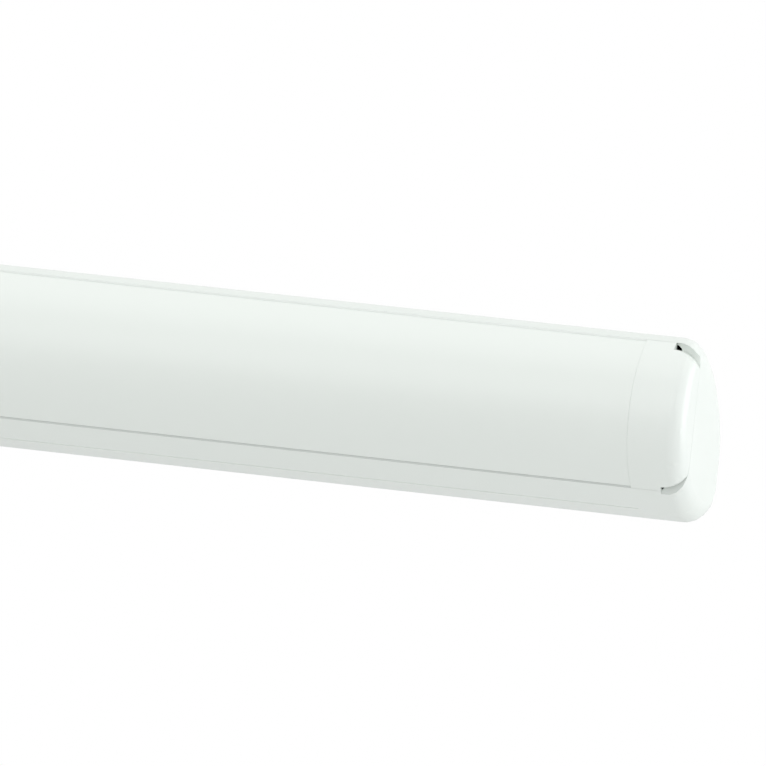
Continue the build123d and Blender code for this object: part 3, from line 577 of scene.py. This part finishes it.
screwMakes = {
    "plateScrew": {"head": 3.0 * mm, "headHeight": 2.6 * mm, "shank": 2.0 * mm, "length": 18.0 * mm,
                   "countersunk": False},
    "capScrew": {"head": 3.2 * mm, "headHeight": 1.45 * mm, "shank": 1.75 * mm, "length": 5.35 * mm,
                 "countersunk": True},
    "leadCapScrew": {"head": 3.2 * mm, "headHeight": 1.7 * mm, "shank": 1.75 * mm, "length": 6.7 * mm,
                     "countersunk": False},
    "lockScrew": {"head": 3.0 * mm, "headHeight": 3.0 * mm, "shank": 1.9 * mm, "length": 10.3 * mm,
                  "countersunk": False},
}
headForm = {
    "crownShare": 0.55,          # of the head's radius
    "shoulderShare": 0.85,
    "shoulderDrop": 0.25 * mm,
    "rimShare": 0.55,            # of the head's height
    "rimEase": 0.1 * mm,
}
threadForm = {
    "pitch": 1.1 * mm,
    "depth": 0.22 * mm,
    "start": 0.2 * mm,           # below the head
    "ridge": (0.3, 0.5, 0.7),    # where a ridge starts, stands highest and ends, in pitches
    "tip": 0.8 * mm,
    "tipShare": 0.5,             # of the core's radius
    "sides": 20,
    "mergeDistance": 0.004 * mm,
}
recessForm = {"reachShare": 0.62, "width": 0.9 * mm, "depthShare": 0.6, "taper": 0.55,
              "smoothAngle": math.radians(30)}


def screwProfile(make):
    # half an outline from the crown of the head, at z 0 and above, down the shank to the tip
    head, rise, shank, ease = make["head"], make["headHeight"], make["shank"], headForm["rimEase"]
    if make["countersunk"]:
        outline = [(0, 0), (head - ease, 0), (head, -ease), (shank, -rise)]
        foot = -rise
    else:
        outline = [(0, rise), (head * headForm["crownShare"], rise),
                   (head * headForm["shoulderShare"], rise - headForm["shoulderDrop"]),
                   (head, rise * headForm["rimShare"]), (head, ease), (head - ease, 0), (shank, 0)]
        foot = 0
    end = foot - make["length"] + threadForm["tip"]
    core = shank - threadForm["depth"]
    pitch = threadForm["pitch"]
    for turn in range(int((foot - end) / pitch)):
        top = foot - threadForm["start"] - turn * pitch
        for radius, share in zip((core, shank, core), threadForm["ridge"]):
            outline.append((radius, top - share * pitch))
    tipEnd = end - threadForm["tip"]
    return outline + [(core, end), (core * threadForm["tipShare"], tipEnd), (0, tipEnd)]


def lineMesh(name, points):
    mesh = bpy.data.meshes.new(name)
    mesh.from_pydata(points, [(index, index + 1) for index in range(len(points) - 1)], [])
    return mesh


def turned(name, outline):
    # an outline of radius and height, spun about z into a closed solid
    piece = newPiece(name, lineMesh(name, [(radius, 0, height) for radius, height in outline]))
    editAll(piece)
    bpy.ops.mesh.spin(steps=threadForm["sides"], angle=2 * math.pi, center=(0, 0, 0), axis=(0, 0, 1))
    bpy.ops.mesh.select_all(action="SELECT")
    bpy.ops.mesh.remove_doubles(threshold=threadForm["mergeDistance"])
    bpy.ops.mesh.normals_make_consistent(inside=False)
    bpy.ops.object.mode_set(mode="OBJECT")
    return piece


def cutRecess(piece, make):
    top = 0 if make["countersunk"] else make["headHeight"]
    reach = make["head"] * recessForm["reachShare"]
    depth = make["headHeight"] * recessForm["depthShare"]
    for turn in (0, math.pi / 2):
        deselectAll()
        bpy.ops.mesh.primitive_cube_add(size=1, location=(0, 0, top), rotation=(0, 0, turn),
                                        scale=(2 * reach, recessForm["width"], 2 * depth))
        blade = bpy.context.object
        applyPlace(blade)
        selectFaces(blade, lambda normal: normal.z < -facingShare)
        taper = recessForm["taper"]
        bpy.ops.transform.resize(value=(taper, taper, 1), center_override=(0, 0, top))
        bpy.ops.object.mode_set(mode="OBJECT")
        cut = piece.modifiers.new("recess", "BOOLEAN")
        cut.object = blade
        cut.operation = "DIFFERENCE"
        cut.solver = "EXACT"
        applyModifiers(piece)
        bpy.data.objects.remove(blade)
    makeActive(piece)
    bpy.ops.object.shade_smooth_by_angle(angle=recessForm["smoothAngle"])


def solidBoxes(nodeName):
    # the lowest and highest corner of each separate solid of a node
    editAll(newPiece("solids", nodes[nodeName].data.copy()))
    bpy.ops.mesh.remove_doubles(threshold=mergeDistance)
    bpy.ops.mesh.separate(type="LOOSE")
    bpy.ops.object.mode_set(mode="OBJECT")
    boxes = []
    for solid in list(bpy.context.selected_objects):
        corners = [vertex.co for vertex in solid.data.vertices]
        boxes.append((Vector([min(corner[axis] for corner in corners) for axis in range(3)]),
                      Vector([max(corner[axis] for corner in corners) for axis in range(3)])))
        bpy.data.objects.remove(solid)
    return sorted(boxes, key=lambda box: tuple(round(number, 5) for number in box[0]))


screwRows = {
    # node: make, name, body, axis that the head points to
    "right_plate_screws": ("plateScrew", "rightPlateScrew", "case", (1, 0, 0)),
    "left_plate_screws": ("plateScrew", "leftPlateScrew", "case", (-1, 0, 0)),
    "right_cap_screws": ("capScrew", "rightCapScrew", "case", (0, -1, 0)),
    "left_cap_screws": ("capScrew", "leftCapScrew", "case", (0, -1, 0)),
    "right_lead_cap_screw": ("leadCapScrew", "rightLeadCapScrew", "lead_bar", (0, 1, 0)),
    "left_lead_cap_screw": ("leadCapScrew", "leftLeadCapScrew", "lead_bar", (0, 1, 0)),
    "bracket_lock_screws": ("lockScrew", "lockScrew", "case", (0, 0, -1)),
}


def makeScrews(nodeName, makeName, pieceName, body, axis):
    make = screwMakes[makeName]
    blank = turned(makeName, screwProfile(make))
    cutRecess(blank, make)
    boxes = solidBoxes(nodeName)
    for index, (low, high) in enumerate(boxes):
        screw = newPiece(f"{pieceName}{index + 1}", blank.data.copy())
        middle = (low + high) / 2
        headEnd = max(low.dot(axis), high.dot(axis)) - (0 if make["countersunk"] else make["headHeight"])
        screw.rotation_euler = axis.to_track_quat("Z", "X").to_euler()
        screw.location = middle + axis * (headEnd - middle.dot(axis))
        applyPlace(screw)
        fitPiece(screw, body, metals["zincScrew"], nodeName)
    bpy.data.objects.remove(blank)
    return len(boxes)


screwCount = 0
for nodeName, (makeName, pieceName, body, axis) in screwRows.items():
    screwCount += makeScrews(nodeName, makeName, pieceName, body, Vector(axis))
print("screws made:", screwCount)


# Torsion spring: one coil of round wire where the frame keeps a plain sleeve

coilSpring = {
    "wireRadius": 1.3 * mm,
    "wireSides": 8,
    "stepsPerTurn": 20,
    "turnGap": 0.15 * mm,
    "smoothAngle": math.radians(50),
}


def makeCoil():
    low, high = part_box("torsion_spring")
    outer = (high.z - low.z) / 2
    wire = coilSpring["wireRadius"]
    pitch = 2 * wire + coilSpring["turnGap"]
    turns = int((high.x - low.x - 2 * wire) / pitch)
    deselectAll()
    bpy.ops.mesh.primitive_circle_add(vertices=coilSpring["wireSides"], radius=wire, fill_type="NOTHING",
                                      location=(outer - wire, 0, wire), rotation=(math.pi / 2, 0, 0))
    piece = bpy.context.object
    piece.name = "coilSpring"
    applyPlace(piece)
    coil = piece.modifiers.new("coil", "SCREW")
    coil.axis = "Z"
    coil.angle = 2 * math.pi
    coil.iterations = turns
    coil.screw_offset = pitch
    coil.steps = coil.render_steps = coilSpring["stepsPerTurn"]
    applyModifiers(piece)
    editAll(piece)
    bpy.ops.mesh.remove_doubles(threshold=mergeDistance)
    bpy.ops.mesh.fill_holes(sides=coilSpring["wireSides"])
    bpy.ops.mesh.normals_make_consistent(inside=False)
    bpy.ops.object.mode_set(mode="OBJECT")
    piece.rotation_euler = (0, math.pi / 2, 0)
    piece.location = (low.x, (low.y + high.y) / 2, (low.z + high.z) / 2)
    applyPlace(piece)
    bpy.ops.object.shade_smooth_by_angle(angle=coilSpring["smoothAngle"])
    fitPiece(piece, "case", metals["springSteel"], "torsion_spring")
    return turns


print("coil spring turns:", makeCoil())


# Cloth wound on the roller: one sheet in a close spiral, its outer end where the free stretch leaves

woundCloth = {
    "thickness": 0.3 * mm,
    "turnPitch": 0.36 * mm,
    "stepsPerTurn": 48,
    "columns": 4,
    "leaveAngle": math.radians(61.8),
    "innerGap": 0.25 * mm,
}
clothSmoothAngle = math.radians(40)


def spiralCloth():
    # the spiral's points and its length
    outer = (rollHigh.z - rollLow.z) / 2 - woundCloth["thickness"] / 2
    inner = (tubeHigh.y - tubeLow.y) / 2 + woundCloth["innerGap"] + woundCloth["thickness"] / 2
    turns = (outer - inner) / woundCloth["turnPitch"]
    steps = int(turns * woundCloth["stepsPerTurn"])
    points = []
    for step in range(steps + 1):
        share = step / steps
        angle = woundCloth["leaveAngle"] - 2 * math.pi * turns * share
        radius = outer + (inner - outer) * share
        points.append((rollLow.x, rollerMiddle.y + radius * math.cos(angle),
                       rollerMiddle.z + radius * math.sin(angle)))
    return points, math.pi * (outer + inner) * turns


def clothFromLine(name, points, lengths, columns):
    # the line is extruded across the cloth in steps, and its map holds real sizes: across, along
    piece = newPiece(name, lineMesh(name, points))
    editAll(piece)
    for column in range(columns):
        bpy.ops.mesh.extrude_region_move(TRANSFORM_OT_translate={"value": (clothWidth / columns, 0, 0)})
    bpy.ops.object.mode_set(mode="OBJECT")
    rows = len(points)
    clothMap = piece.data.uv_layers.new(name="clothMap")
    for loop in piece.data.loops:
        column, row = divmod(loop.vertex_index, rows)
        clothMap.data[loop.index].uv = (clothWidth * column / columns, lengths[row])
    return piece


def thicken(piece, thickness):
    wall = piece.modifiers.new("clothWall", "SOLIDIFY")
    wall.thickness = thickness
    wall.offset = 0
    wall.use_even_offset = True
    applyModifiers(piece)
    bpy.ops.object.shade_smooth_by_angle(angle=clothSmoothAngle)


spiralPoints, spiralLength = spiralCloth()
spiralLengths = [spiralLength * index / (len(spiralPoints) - 1) for index in range(len(spiralPoints))]
roll = clothFromLine("clothRoll", spiralPoints, spiralLengths, woundCloth["columns"])
thicken(roll, woundCloth["thickness"])
fitPiece(roll, "roller", cloth, "fabric_roll")
print("cloth on the roller:", round(spiralLength, 3), "m in one spiral")


# Free stretch of the cloth: short at rest, drawn out straight as the lead bar slides

freeCloth = {
    "thickness": 0.5 * mm,
    "rows": 60,
    "columns": 24,
    "startShare": 0.2,           # how far along the rest line the drawn stretch begins
    "drawLength": 1.2,
}


def shareOf(weight):
    # the inverse of the smooth step that carries a blended point from one body to the other
    return 0.5 - math.sin(math.asin(1 - 2 * weight) / 3)


def freeStretch():
    # the line's points, and where on it the blend starts and ends
    leave = Vector((panelLow.x, panelHigh.y, panelLow.z + freeCloth["thickness"]))
    slot = Vector((panelLow.x, leadHigh.y, panelHigh.z - freeCloth["thickness"]))
    inside = Vector((panelLow.x, panelLow.y + freeCloth["thickness"], slot.z))
    start = leave.lerp(slot, freeCloth["startShare"])
    run = slot - start
    points = [tuple(leave), tuple((leave + start) / 2)]
    for row in range(freeCloth["rows"] + 1):
        # the rows rise evenly, and each lies where the blend gives it an even weight
        weight = row / freeCloth["rows"]
        rise = run.z * weight
        forward = (shareOf(weight) * run.length_squared - run.z * rise) / run.y
        points.append((start.x, start.y + forward, start.z + rise))
    points.append(tuple(inside))
    return points, start, slot


freePoints, drawStart, drawEnd = freeStretch()
drawnLengths = [0.0]
for first, last in zip(freePoints, freePoints[1:]):
    drawnLengths.append(drawnLengths[-1] + (Vector(last) - Vector(first)).length)
firstDrawn = 3  # the first row that moves away from the one before it
for index in range(firstDrawn, len(freePoints)):
    rowsDrawn = min(index - firstDrawn + 1, freeCloth["rows"])
    drawnLengths[index] += freeCloth["drawLength"] / freeCloth["rows"] * rowsDrawn
panel = clothFromLine("clothPanel", freePoints, drawnLengths, freeCloth["columns"])
thicken(panel, freeCloth["thickness"])
dress(panel, cloth)
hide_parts("fabric_panel")
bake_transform(panel)


# Stage: a pale floor below, soft lamps, white behind

stageLook = {
    "floorDrop": 0.42,           # below the case
    "floorMiddleY": -0.4,
    "floorRadius": 4.2,
    "floorSides": 96,
    "floorColour": (0.86, 0.86, 0.86),
    "floorRoughness": 0.9,
    "floorShine": 0.1,
    "fadeRange": (1.2, 4.0),     # from the floor's own colour to white
    "skyLight": 0.50,
    "white": (1, 1, 1, 1),
}


def seenOrMirrored(tree):
    # 1 where the camera looks, also by a mirroring surface or through a clear one
    path = tree.nodes.new("ShaderNodeLightPath")
    total = path.outputs["Is Camera Ray"]
    for ray in ("Is Glossy Ray", "Is Transmission Ray"):
        either = tree.nodes.new("ShaderNodeMath")
        either.operation = "MAXIMUM"
        tree.links.new(total, either.inputs[0])
        tree.links.new(path.outputs[ray], either.inputs[1])
        total = either.outputs["Value"]
    return total


def mixShaders(tree, factor, first, second):
    mix = tree.nodes.new("ShaderNodeMixShader")
    for socket, source in zip(mix.inputs, (factor, first, second)):
        tree.links.new(source, socket)
    return mix.outputs["Shader"]


def floorMaterial():
    # the floor fades to white far out, and it can't be seen from below, so the underside of the awning can
    material = bpy.data.materials.new("paleFloor")
    material.use_nodes = True
    tree = material.node_tree
    shader = tree.nodes["Principled BSDF"]
    shader.inputs["Base Color"].default_value = (*stageLook["floorColour"], 1)
    shader.inputs["Roughness"].default_value = stageLook["floorRoughness"]
    shader.inputs["Specular IOR Level"].default_value = stageLook["floorShine"]
    glow = addNode(material, "ShaderNodeEmission", Color=stageLook["white"])
    coordinates = addNode(material, "ShaderNodeTexCoord")
    distance = addNode(material, "ShaderNodeVectorMath", operation="LENGTH")
    link(material, coordinates.outputs["Object"], distance.inputs[0])
    fade = addRange(material, distance.outputs["Value"], stageLook["fadeRange"])
    white = addMath(material, "MULTIPLY", fade, seenOrMirrored(tree))
    surface = mixShaders(tree, white, shader.outputs["BSDF"], glow.outputs["Emission"])
    side = addNode(material, "ShaderNodeNewGeometry")
    clear = addNode(material, "ShaderNodeBsdfTransparent")
    oneSided = mixShaders(tree, side.outputs["Backfacing"], surface, clear.outputs["BSDF"])
    link(material, oneSided, tree.nodes["Material Output"].inputs["Surface"])
    return material


def makeStage():
    deselectAll()
    bpy.ops.mesh.primitive_circle_add(vertices=stageLook["floorSides"], radius=stageLook["floorRadius"],
                                      fill_type="NGON")
    floor = bpy.context.object
    floor.name = "floor"
    floorZ = housingLow.z - stageLook["floorDrop"]
    floor.data.transform(Matrix.Translation((0, stageLook["floorMiddleY"], floorZ)))
    floor.data.materials.append(floorMaterial())
    world = bpy.data.worlds.new("whiteRoom")
    scene.world = world
    world.use_nodes = True
    tree = world.node_tree
    dim = tree.nodes["Background"]
    dim.inputs["Color"].default_value = stageLook["white"]
    dim.inputs["Strength"].default_value = stageLook["skyLight"]
    white = tree.nodes.new("ShaderNodeBackground")
    white.inputs["Color"].default_value = stageLook["white"]
    white.inputs["Strength"].default_value = 1.0
    sky = mixShaders(tree, seenOrMirrored(tree), dim.outputs["Background"], white.outputs["Background"])
    tree.links.new(sky, tree.nodes["World Output"].inputs["Surface"])


lampSettings = {
    "overheadSoftbox": {"at": (0.5, -1.1, 3.2), "towards": (0.2, 0, 0), "size": (4.6, 3.0), "power": 57.0,
                        "colour": (1, 1, 1)},
    "frontSoftbox": {"at": (-0.1, -3.4, 0.9), "towards": (0.2, 0, 0), "size": (3.6, 1.8), "power": 22.0,
                     "colour": (1, 1, 1)},
    "endSoftbox": {"at": (3.4, 0.5, 0.4), "towards": (0.8, 0, 0), "size": (2.0, 2.2), "power": 42.0,
                   "colour": (0.98, 0.985, 1.0)},
    "farEndSoftbox": {"at": (-3.6, -0.6, 0.8), "towards": (-0.8, 0, 0), "size": (2.0, 2.0), "power": 26.0,
                      "colour": (1, 1, 1)},
}


def makeLamps():
    for name, lamp in lampSettings.items():
        light = bpy.data.lights.new(name, "AREA")
        light.shape = "RECTANGLE"
        light.size, light.size_y = lamp["size"]
        light.energy = lamp["power"]
        light.color = lamp["colour"]
        holder = newPiece(name, light)
        holder.location = lamp["at"]
        aim = Vector(lamp["towards"]) - Vector(lamp["at"])
        holder.rotation_euler = aim.to_track_quat("-Z", "Y").to_euler()


cameraSettings = {
    "imageSide": 766,
    "lens": 800.0,
    "sensor": 36.0,
    "farClip": 400.0,
    "pixelsPerMetre": 1418.0,
    "turn": math.radians(20),        # how far round to the right end the camera stands
    "roll": math.radians(6.22),      # the case runs downwards to the right in the picture
    "seamPixel": (627.5, 424.0),     # where the front of the seam between lead bar and cap lies
}


def makeCamera():
    settings = cameraSettings
    turn, roll, scale = settings["turn"], settings["roll"], settings["pixelsPerMetre"]
    seamX, seamY = settings["seamPixel"]
    half = settings["imageSide"] / 2
    right = Vector((math.cos(turn), math.sin(turn), 0))
    back = Vector((math.sin(turn), -math.cos(turn), 0))
    up = Vector((0, 0, 1))
    across = right * math.cos(roll) + up * math.sin(roll)
    upwards = up * math.cos(roll) - right * math.sin(roll)
    seam = Vector((leadHigh.x, leadLow.y, caseMiddleZ))
    target = seam + across * ((half - seamX) / scale) + upwards * ((seamY - half) / scale)
    distance = settings["lens"] * settings["imageSide"] / settings["sensor"] / scale
    camera = bpy.data.cameras.new("camera")
    camera.lens = settings["lens"]
    camera.sensor_width = settings["sensor"]
    camera.clip_end = settings["farClip"]
    holder = newPiece("camera", camera)
    facing = Matrix((across, upwards, back)).transposed().to_4x4()
    holder.matrix_world = Matrix.Translation(target + back * distance) @ facing
    scene.camera = holder


makeStage()
makeLamps()
makeCamera()
print("stage, lamps and camera made")
